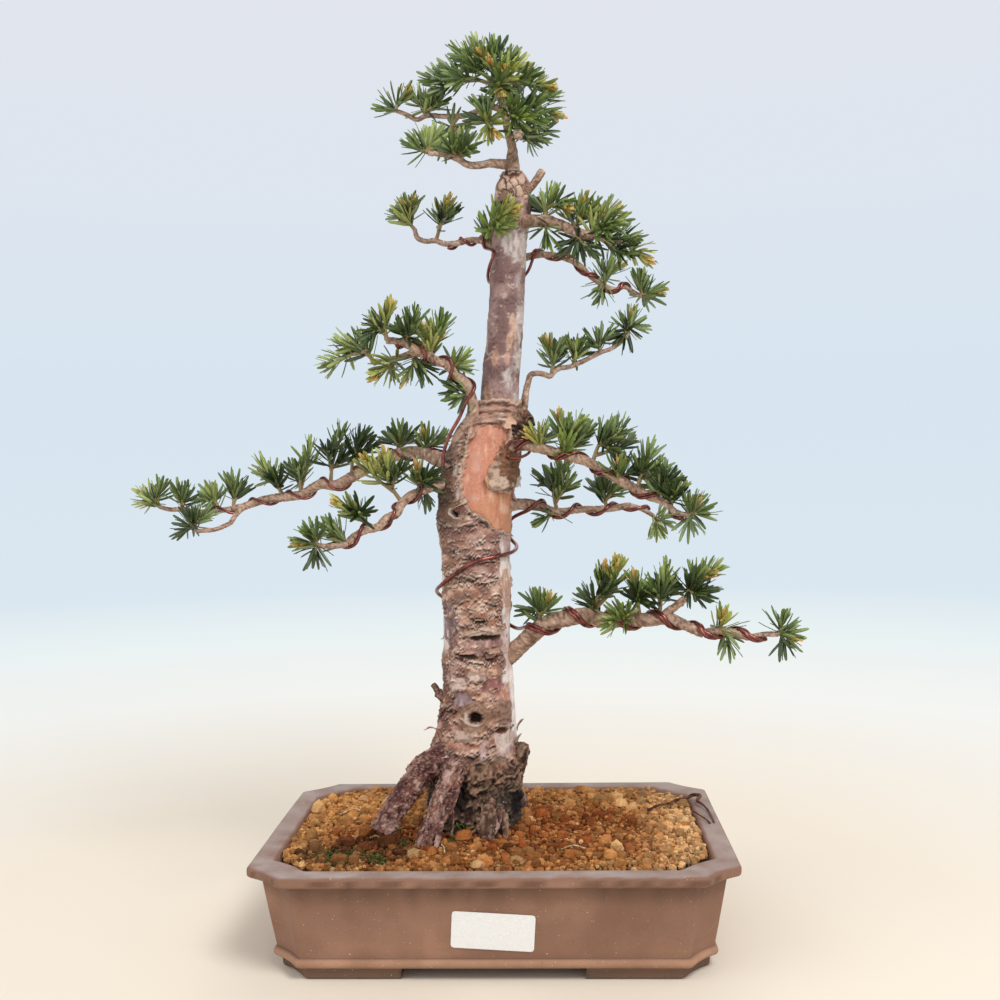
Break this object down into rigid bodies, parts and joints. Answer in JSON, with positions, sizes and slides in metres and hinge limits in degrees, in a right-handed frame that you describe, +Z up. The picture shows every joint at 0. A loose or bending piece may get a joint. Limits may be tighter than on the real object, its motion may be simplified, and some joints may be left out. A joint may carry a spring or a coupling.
{
  "type": "japanese yew bonsai",
  "caption": "Japanese yew bonsai: tapering trunk with flaky red-brown bark, wired tiers of dark green needles, shallow rectangular clay pot with cut corners.",
  "frame": {"origin": "middle of the bottom of the whole object's box, at the level of the pot's feet", "axes": "+Z up along the trunk, +X to the right and -Y towards the front with the label"},
  "size_m": [0.4688, 0.216, 0.5993],
  "materials": {
    "clay": "matte",
    "soil": "matte",
    "bark": "matte",
    "needles": "satin",
    "wire": "satin",
    "label": "matte"
  },
  "bodies": {
    "root": {"pot": "clay", "soil": "soil", "wood": "bark", "blank_label": "label", "wire_long_left": "wire", "wire_low_right": "wire", "wire_upper_left": "wire", "wire_high": "wire", "low_right_bud": "needles", "low_right_rise": "needles", "low_right_middle": "needles", "low_right_fork": "needles", "low_right_fan": "needles", "low_right_tip": "needles", "long_left_tip": "needles", "long_left_lower": "needles", "long_left_outer": "needles", "long_left_crest": "needles", "long_left_inner": "needles", "front_left_root": "needles", "front_left_yellow": "needles", "front_left_bend": "needles", "front_left_tip": "needles", "front_right_root": "needles", "front_right_cone": "needles", "front_right_crest": "needles", "front_right_tip": "needles", "back_right_rise": "needles", "back_right_middle": "needles", "back_right_tip": "needles", "upper_left_tip": "needles", "upper_left_elbow": "needles", "upper_left_neck": "needles", "upper_left_lower": "needles", "upper_left_star": "needles", "thin_right_stem": "needles", "high_left_stem": "needles", "high_left_root": "needles", "high_right_root": "needles", "high_right_middle": "needles", "high_right_end": "needles", "high_right_lower_tip": "needles", "crown_left_stem": "needles", "crown_far_left_stem": "needles", "crown_top": "needles", "crown_far": "needles", "crown_front": "needles", "crown_right": "needles", "crown_side": "needles", "crown_big": "needles", "crown_low": "needles", "crown_back": "needles"}
  },
  "joints": []
}
